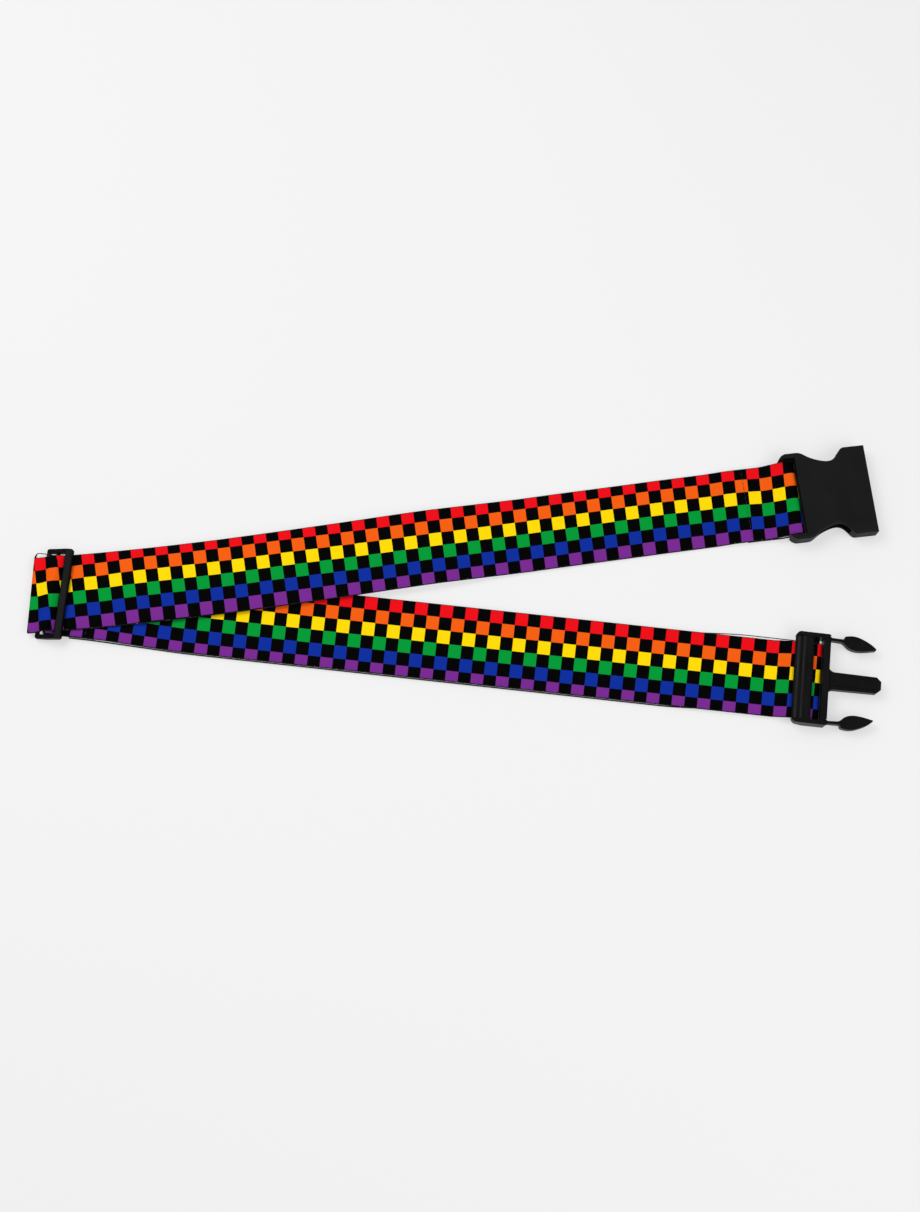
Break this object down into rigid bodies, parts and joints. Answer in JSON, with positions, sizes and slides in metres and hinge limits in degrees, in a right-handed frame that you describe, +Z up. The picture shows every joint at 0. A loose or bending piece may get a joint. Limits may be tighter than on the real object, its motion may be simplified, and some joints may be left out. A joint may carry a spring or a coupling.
{
  "type": "luggage strap",
  "caption": "Wide checkered webbing luggage strap, laid folded in a narrow V, with an adjusting slide and both halves of a side-release buckle.",
  "frame": {"origin": "middle of the object's plan, on the surface it lies on", "axes": "+X towards the buckle halves, +Y towards the socket leg, +Z up out of the print"},
  "size_m": [0.5575, 0.1911, 0.0123],
  "materials": {
    "webbing": "woven polyester webbing with a checkered rainbow print on one side, white behind",
    "thread": "black sewing thread",
    "socket_plastic": "black moulded plastic, fine texture",
    "plug_plastic": "black moulded plastic, satin to glossy",
    "slide_plastic": "black moulded plastic, glossy"
  },
  "bodies": {
    "slide_end": {"tri_glide": "slide_plastic", "fold_loop": "webbing", "sewn_end": "webbing", "sewn_end_stitching": "thread", "lower_top_lead": "webbing", "lower_bottom_lead": "webbing", "upper_lead": "webbing"},
    "upper_leg": {"upper_run": "webbing", "socket_tab": "webbing", "socket_stitching": "thread"},
    "socket_half": {"socket": "socket_plastic"},
    "lower_leg": {"bottom_run": "webbing", "top_run": "webbing", "plug_wrap": "webbing"},
    "plug_half": {"plug": "plug_plastic"},
    "upper_catch": {"upper_prong": "plug_plastic"},
    "lower_catch": {"lower_prong": "plug_plastic"}
  },
  "joints": [
    {"name": "loop_adjust", "type": "slide", "parent": "slide_end", "child": "lower_leg", "axis": [0.9939, -0.1106, 0], "range_m": [-0.03, 0.03], "deforming": ["lower_top_lead", "lower_bottom_lead"]},
    {"name": "strap_feed", "type": "slide", "parent": "slide_end", "child": "upper_leg", "axis": [0.9899, 0.1418, 0], "range_m": [-0.06, 0.06], "deforming": ["upper_lead"]},
    {"name": "socket_swing", "type": "hinge", "parent": "upper_leg", "child": "socket_half", "pos_m": [0.22471, 0.05993, 0.00615], "axis": [0.1132, -0.9936, 0], "range_deg": [-60, 90]},
    {"name": "plug_swing", "type": "hinge", "parent": "lower_leg", "child": "plug_half", "pos_m": [0.23262, -0.06359, 0.00325], "axis": [-0.1115, -0.9938, 0], "range_deg": [-75, 0]},
    {"name": "upper_prong_squeeze", "type": "hinge", "parent": "plug_half", "child": "upper_catch", "pos_m": [0.24356, -0.03604, 0.0052], "axis": [0, 0, -1], "range_deg": [0, 15], "stiffness_Nm_per_rad": 1},
    {"name": "lower_prong_squeeze", "type": "hinge", "parent": "plug_half", "child": "lower_catch", "pos_m": [0.23745, -0.0905, 0.0052], "axis": [0, 0, 1], "range_deg": [0, 15], "stiffness_Nm_per_rad": 1}
  ],
  "couplings": [
    {"joint": "strap_feed", "follows": "loop_adjust", "ratio": -2}
  ]
}
